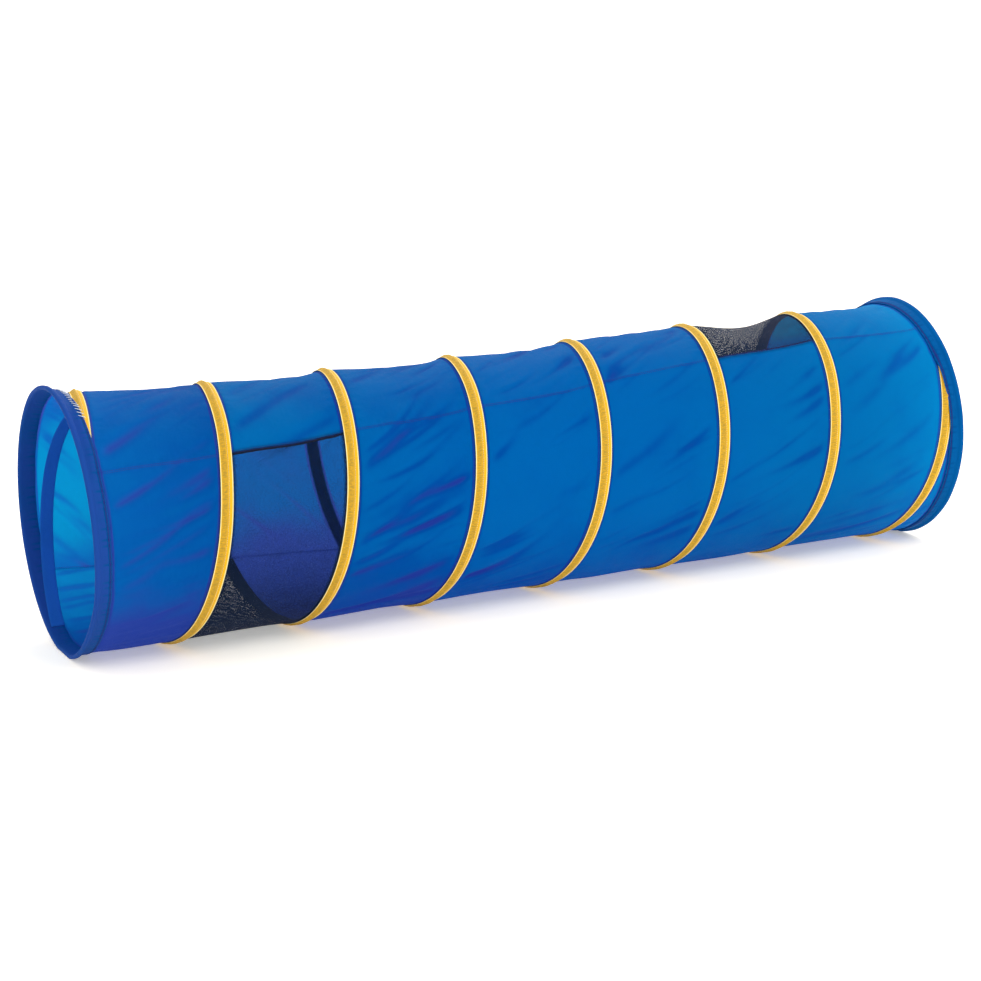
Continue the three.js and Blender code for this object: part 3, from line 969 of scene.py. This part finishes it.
# The sections of the flat bands, as (along the tunnel, height) in millimetres
EDGE_BAND = [(-12.5, 0), (-6, 0.1), (0, 0.15), (6, 0.1), (12.5, 0), (12.5, 0.7), (11, 1.0), (6, 1.05),
             (0, 1.1), (-6, 1.05), (-11, 1.0), (-12.5, 0.7)]
SEAM_BAND = [(-5, 0.0), (-2, -0.1), (2, -0.1), (5, 0.0), (5, 0.6), (2, 0.9), (-2, 0.9), (-5, 0.6)]
STAY_BAND = [(-12.5, 0.2), (-11.6, 0), (-6, 0.15), (0, 0.2), (6, 0.15), (11.6, 0), (12.5, 0.2),
             (12.5, 0.6), (11.6, 0.85), (6, 0.95), (0, 1.0), (-6, 0.95), (-11.6, 0.85), (-12.5, 0.6)]


def make_edge_binding(half, side):
    """Black tape inside a window's edge, behind the wire."""
    window = WINDOWS[half]
    turn = window if side == "left" else window + 1
    node = f"{half}_window_binding_{side}"
    # From the seam on one side to the seam on the other, about where this turn passes each of them
    if half == "upper":
        low, high = seam_angle(coil_x(turn + 0.25)) - 180, seam_angle(coil_x(turn - 0.1))
    else:
        low, high = seam_angle(coil_x(turn - 0.15)), seam_angle(coil_x(turn - 0.6)) + 180
    angles = np.arange(float(low), float(high), BAND_STEP)
    section = band_section(EDGE_BAND, EDGE_BINDING)
    obj = sweep(f"{node}_tape", section, angles, coil_x(turn - angles / 360))
    attach(obj, BINDING_LOOK, body_of(window), [node])


def make_seam_binding(half, side):
    """Black tape inside a window's seam edge."""
    window = WINDOWS[half]
    node = f"{half}_window_binding_{side}"
    shift = 0 if side == "near" else (180 if half == "lower" else -180)
    left, right = bay_edges(window, seam_angle(CROWNS[window]) + shift)
    x = np.arange(left + 0.001, right - 0.001, 0.004)
    at = seam_angle(x) + shift
    left, right = bay_edges(window, at)
    keep = (x > left) & (x < right)
    x, at = x[keep], at[keep]
    outer, _ = cloth_radius(window, x, at)
    across, height = np.array(SEAM_BAND).T[:, None, :] / 1000
    points = place(x[:, None], at[:, None] + np.degrees(across / CLOTH), outer[:, None] - 0.0016 + height)
    uv = np.stack(np.broadcast_arrays(across, x[:, None]), -1)
    obj = grid_object(f"{node}_tape", points, uv, wrap_cols=True, caps=True)
    recalculate(obj)
    attach(obj, BINDING_LOOK, body_of(window), [node])


def make_stay():
    """A band of doubled cloth inside the left end, from the hem up to the first turn's tape."""
    angles = np.arange(STAY_FROM, STAY_TO, BAND_STEP)
    share = (angles - STAY_FROM) / (STAY_TO - STAY_FROM)
    free = STAY_START + STAY_RISE * share + STAY_CURL * share**STAY_CURL_POWER
    middle = np.minimum(free, coil_x(1 - angles / 360))
    obj = sweep("left_hem_stay_cloth", band_section(STAY_BAND, STAY_RADIUS), angles, middle)
    attach(obj, STAY_LOOK, "turn_1", ["left_hem_stay"])


# ---------------------------------------------------------------- end hems and hoops

# The hem's section, as (distance from the end face, radius) in millimetres. It is one closed line:
# the outer leg's face from its free edge, the fold over the hoop, the inner leg's face, its back
# with the inside of the fold, and the outer leg's back
HEM_PARTS = {
    "outer_face": [(32.0, 236.3), (31.9, 237.0), (30.6, 237.5), (29.0, 237.2), (27.4, 237.5),
                   (24, 238.0), (19, 238.1), (14.5, 238.2), (11.8, 238.6), (10.2, 239.8),
                   (9.0, 241.4), (7.0, 242.6), (4.6, 243.0)],
    "fold": [(2.4, 242.7), (0.9, 241.7), (0.2, 240.3), (0.0, 238.6), (0.4, 236.8)],
    "inner_face": [(1.6, 235.3), (3.6, 234.4), (6.5, 234.0), (11, 233.6), (17, 233.2), (24, 233.2),
                   (30.5, 233.3), (31.8, 233.5), (32.0, 233.9), (31.6, 234.4)],
    "inside": [(24, 234.5), (16, 234.7), (10.5, 235.0), (7.2, 235.5), (4.6, 235.9), (2.6, 236.4),
               (1.5, 237.6), (1.2, 239.0), (1.7, 240.5), (3.0, 241.6), (4.8, 241.9), (6.6, 241.4),
               (8.2, 240.2), (9.6, 238.4), (11.5, 237.1), (16, 236.7)],
    "outer_back": [(22, 236.4), (28, 236.2)],
}

# Waves round the hem: how many there are, where they start in radians and, for the gathers, how
# many times their pitch varies
GATHER_WAVES = ((138, 0.4, 5), (97, 1.9, 3), (171, 4.1, 7))
RAGGED_WAVES = ((9, 0.3), (14, 2.2), (23, 1.0))


def make_hem(side):
    """The end hem: cloth folded over the hoop, gathered by the stitching along its free edge."""
    right = side == "right"
    angles = np.linspace(0, 360, 721)[:-1]
    part = np.array([name for name, points in HEM_PARTS.items() for _ in points])
    u, r = np.concatenate(list(HEM_PARTS.values())).T[:, None, :] / 1000
    turn = np.radians(angles)[:, None]
    wave = sum(np.sin(turn * n + phase + 1.5 * np.sin(turn * m)) for n, phase, m in GATHER_WAVES) / 3
    ragged = sum(np.sin(turn * n + phase) for n, phase in RAGGED_WAVES) / 3
    gather = smooth(u, 0.010, 0.022)
    gathered = 1.0 * (part == "outer_face") - (part == "inner_face")
    radius = r + gather * wave * 0.0003 * gathered + ragged * 0.0004 * smooth(r, 0.2385, 0.2415)
    x = u + ragged * 0.0006 * smooth(u, 0.012, 0.030)
    x = LENGTH - x if right else x
    bump = TAPE_BUMP * tape_under_hem(x, angles[:, None]) * smooth(u, 0.012, 0.022)
    radius = radius + bump * np.isin(part, ("outer_face", "outer_back"))
    points = place(x, angles[:, None], radius)
    uv = np.stack(np.broadcast_arrays(HEM_TOP * turn, u + r * 3), -1)
    # Painted shade on the hem: a little all over, more along the stitched line and in the hollows of the
    # gathers
    sewn = np.exp(-(((u - 0.0282) / 0.0016) ** 2))
    tint = np.clip(0.1 + 0.8 * sewn + 0.25 * gather * smooth(-wave, 0.0, 0.8), 0, 1) * np.ones_like(radius)
    obj = grid_object(f"{side}_hem_cloth", points, uv, wrap_rows=True, wrap_cols=True, fold=tint)
    recalculate(obj)
    # The right hem takes the lit copy, the left one the shaded copy
    look = LIT_HEM_LOOK if right else SHADED_HEM_LOOK
    attach(obj, look, f"{side}_end", [f"{side}_hem"], soft=False)


def tape_under_hem(x, angle):
    """1 where a turn's tape passes under a hem, fading out beside it."""
    away = [np.abs(x - coil_x(turn - angle / 360)) for turn in (0, 1, TURNS, TURNS + 1)]
    return 1 - smooth(np.minimum.reduce(away), 0.010, 0.017)


def make_hem_stitches(side):
    """Two rows of stitches along the hem's free edge."""
    angles = np.arange(0, 360, math.degrees(STITCH_PITCH / HEM_TOP))
    step = math.degrees(CLOTH_STITCH / HEM_TOP)
    starts, ends = [], []
    for u, radius in ((0.0290, 0.2375), (0.0272, 0.2378)):
        x = LENGTH - u if side == "right" else u
        radius = radius + TAPE_BUMP * tape_under_hem(x, angles)
        starts.append(place(x, angles, radius))
        ends.append(place(x, angles + step, radius))
    make_stitches(f"{side}_hem_stitches", np.concatenate(starts), np.concatenate(ends), 0.0007,
                  BLUE_THREAD, f"{side}_end")


def make_overlock():
    """The pale overlock stitches where the coil's tape starts, at the top of the left hem."""
    angles = np.arange(-5, 29, 2.4)
    tilt = 0.9
    lift = TAPE_BUMP * tape_under_hem(0.026, angles)
    starts = place(0.0225, angles, CLOTH + 0.0034 + lift)
    ends = place(0.0345, angles + tilt, CLOTH + 0.0036 + lift)
    make_stitches("left_hem_overlock", starts, ends, 0.0012, WHITE_THREAD, "left_end")


def make_hoop(side):
    """The spring hoop inside a hem."""
    x = HOOP_INSET if side == "left" else LENGTH - HOOP_INSET
    angles = np.linspace(0, 360, 361)[:-1]
    section = wire_section(HOOP, 12)
    obj = sweep(f"{side}_hoop_wire", section, angles, np.full(len(angles), x), wrap=True)
    attach(obj, STEEL_LOOK, f"{side}_end", [f"{side}_hoop"], soft=False)
    make_sleeve(side, x)


SLEEVE_HALF = 0.0125
SLEEVE_RADIUS = 0.0026
SLEEVE_BORE = 0.0017
SLEEVE_AT = 270  # degrees from the top towards the near side


def make_sleeve(side, x):
    """The sleeve that joins a hoop's ends, crimped in two places."""
    steps = 33
    along = np.linspace(-1, 1, steps)
    half = SLEEVE_HALF / HOOP
    angle = (np.degrees(np.linspace(-half, half, steps)) + SLEEVE_AT)[:, None]
    pinch = np.exp(-(((np.abs(along) - 0.5) / 0.09) ** 2))
    radius = (SLEEVE_RADIUS - 0.00045 * pinch - 0.0003 * smooth(np.abs(along), 0.9, 1.0))[:, None]
    ring = np.linspace(0, 2 * math.pi, 17)[:-1][None, :]
    outside = place(x + radius * np.cos(ring), angle, HOOP + radius * np.sin(ring))
    bore = place(x + SLEEVE_BORE * np.cos(ring), angle[[-1, 0]], HOOP + SLEEVE_BORE * np.sin(ring))
    grid = np.concatenate([outside, bore], 0)
    v = np.arange(len(grid))[:, None] * 0.0008
    uv = np.stack(np.broadcast_arrays(ring * SLEEVE_RADIUS, v), -1)
    sleeve = grid_object(f"{side}_hoop_sleeve", grid, uv, wrap_rows=True, wrap_cols=True)
    recalculate(sleeve)
    attach(sleeve, STEEL_LOOK, f"{side}_end", [f"{side}_hoop_ferrule"], soft=False)


# ---------------------------------------------------------------- floor, light and camera

def make_floor():
    mesh = bpy.data.meshes.new("floor")
    corners = [(x * FLOOR_HALF, y * FLOOR_HALF, 0) for x, y in ((-1, -1), (1, -1), (1, 1), (-1, 1))]
    mesh.from_pydata(corners, [], [(0, 1, 2, 3)])
    floor = add_object("floor", mesh)
    look = Look("floor_white")
    floor.data.materials.append(look.finish(look.principled(
        Base_Color=FLOOR_COLOUR, Roughness=0.95, Specular_IOR_Level=0.1,
        Emission_Color=FLOOR_GLOW_COLOUR, Emission_Strength=FLOOR_GLOW)))


def make_light(name, position, target, size, power, colour):
    data = bpy.data.lights.new(name, "AREA")
    data.shape = "RECTANGLE"
    data.size, data.size_y = size
    data.energy = power
    data.color = colour
    lamp = add_object(name, data)
    lamp.location = position
    away = Vector(position) - Vector(target)
    lamp.rotation_euler = away.to_track_quat("Z", "Y").to_euler()


def make_studio():
    scene = bpy.context.scene
    world = bpy.data.worlds.new("studio")
    world.use_nodes = True
    world.node_tree.nodes["Background"].inputs["Color"].default_value = (1, 1, 1, 1)
    world.node_tree.nodes["Background"].inputs["Strength"].default_value = WORLD_STRENGTH
    scene.world = world
    scene.view_settings.view_transform = "Standard"
    make_light("key", position=(0.9, -3.0, 3.4), target=(0.2, 0, 0.2), size=(3.0, 2.0), power=68,
               colour=(1.0, 0.99, 0.97))
    make_light("rim", position=(1.5, 2.6, 2.8), target=(0, 0, 0.25), size=(3.0, 1.5), power=45,
               colour=(1.0, 1.0, 1.0))


def make_camera():
    yaw, pitch, roll = (math.radians(v) for v in (CAMERA_YAW, CAMERA_PITCH, CAMERA_ROLL))
    forward = np.array([math.cos(pitch) * math.sin(yaw), math.cos(pitch) * math.cos(yaw), math.sin(pitch)])
    level = np.array([math.cos(yaw), -math.sin(yaw), 0])
    upright = np.cross(level, forward)
    right = math.cos(roll) * level + math.sin(roll) * upright
    up = math.cos(roll) * upright - math.sin(roll) * level
    data = bpy.data.cameras.new("camera")
    data.lens = CAMERA_LENS
    data.sensor_width = 36
    camera = add_object("camera", data)
    turned = np.stack([right, up, -forward], 1)
    camera.matrix_world = Matrix.Translation(CAMERA_AT) @ Matrix(turned.tolist()).to_4x4()
    bpy.context.scene.camera = camera


make_camera()
make_floor()
make_studio()

for end_side in ("left", "right"):
    make_hoop(end_side)
    make_hem(end_side)
    make_hem_stitches(end_side)
make_overlock()
make_stay()

for turn_number in range(1, TURNS + 1):
    make_wire(turn_number)
    make_tape(turn_number)
    make_tape_stitches(turn_number)

for bay_number in range(-1, TURNS):
    make_panel(bay_number, upper=True)
for bay_number in range(TURNS + 1):
    make_panel(bay_number, upper=False)
    make_seam_stitches(bay_number)

for window_half in WINDOWS:
    make_edge_binding(window_half, "left")
    make_edge_binding(window_half, "right")
    make_seam_binding(window_half, "near")
    make_seam_binding(window_half, "far")
